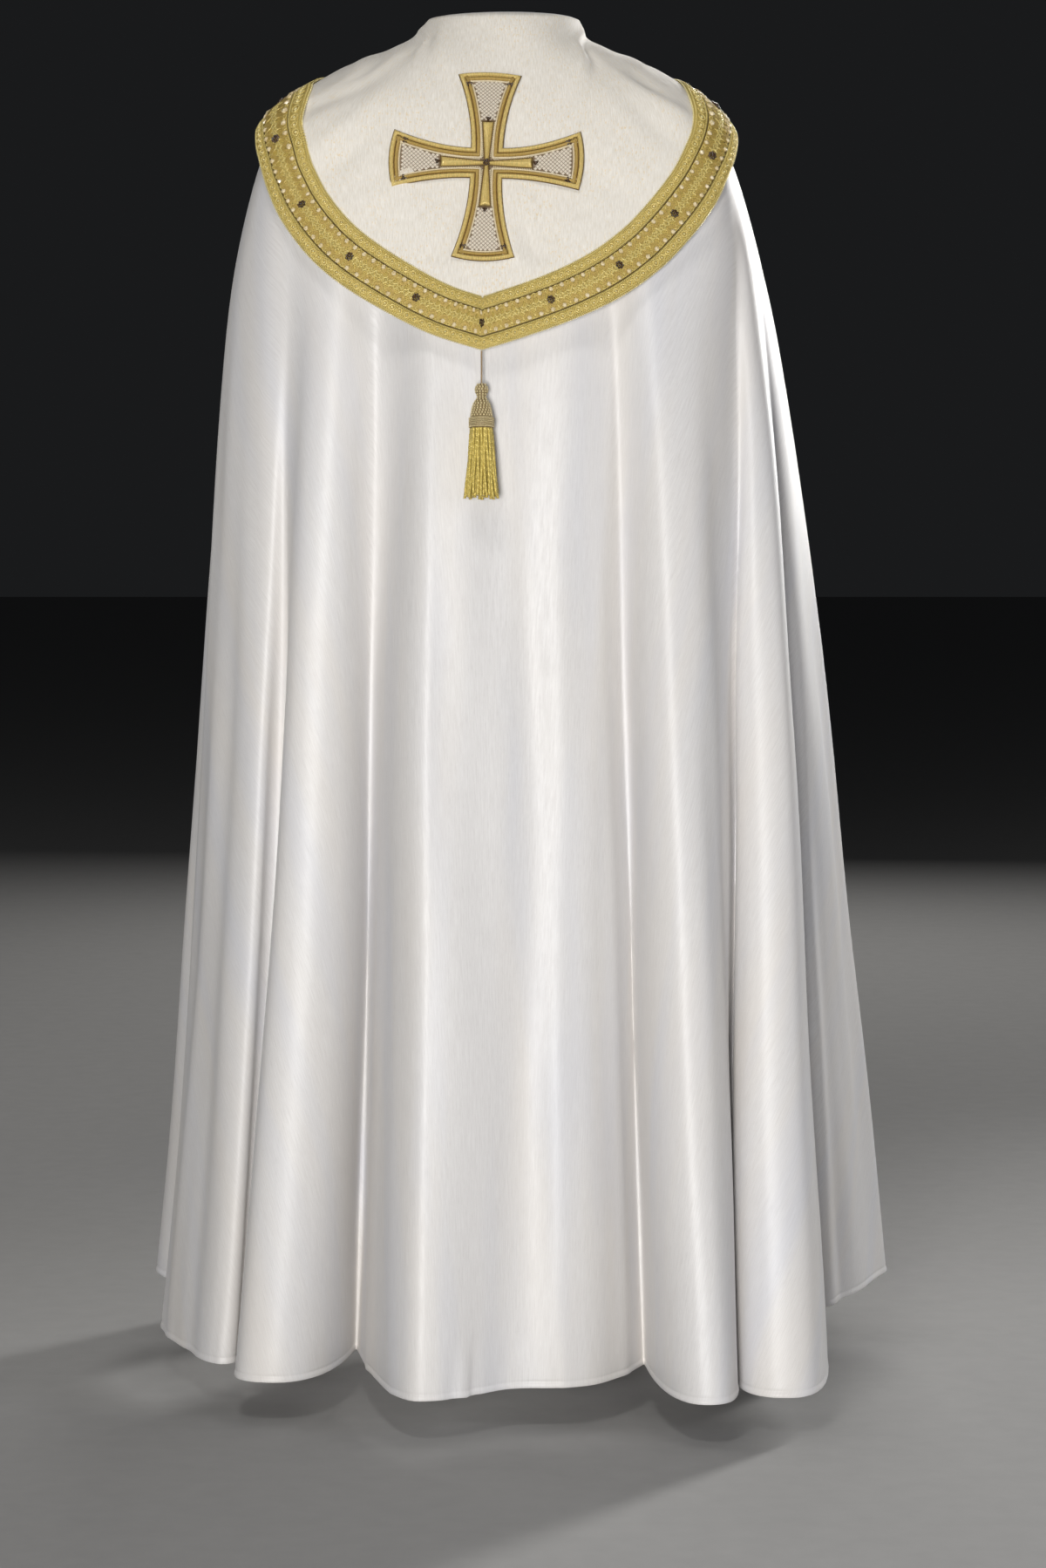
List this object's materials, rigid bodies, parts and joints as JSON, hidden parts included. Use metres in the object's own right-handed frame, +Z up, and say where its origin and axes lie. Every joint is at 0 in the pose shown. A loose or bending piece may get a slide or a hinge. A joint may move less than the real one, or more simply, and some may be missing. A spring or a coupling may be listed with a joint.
{
  "type": "cope vestment",
  "caption": "Worn half-circle cape, open in front, with a braid-edged shield hood, a raised cross and a tassel on the back.",
  "frame": {"origin": "middle of the neck opening, where the cloth turns from the neck on to the shoulders", "axes": "+Z up along the wearer; the wearer faces +Y, so the hood is on the -Y side; +X to the wearer's right"},
  "size_m": [0.862, 0.7189, 1.4683],
  "materials": {
    "satin": "ivory satin with a soft sheen and a fine slub",
    "hood_cloth": "cream crinkled weave with fine gold flecks",
    "braid": "embroidered gold thread, lightly glinting",
    "chain": "pale gold looped thread",
    "cross_cloth": "white cloth with a fine gold thread lattice",
    "bullion": "padded gold thread laid side by side, satin metal sheen",
    "tassel_thread": "twisted straw-gold thread",
    "tassel_gold": "gold bullion fringe, shiny"
  },
  "bodies": {
    "root": {"cope_body": "satin", "hood": "hood_cloth", "hood_braid": "braid", "braid_outer_chain": "chain", "braid_inner_chain": "chain", "cross_ground": "cross_cloth", "cross_frame": "bullion", "cross_centre": "bullion", "tassel_cord": "tassel_thread", "tassel": "tassel_gold", "clasp_tab": "hood_cloth"}
  },
  "joints": []
}
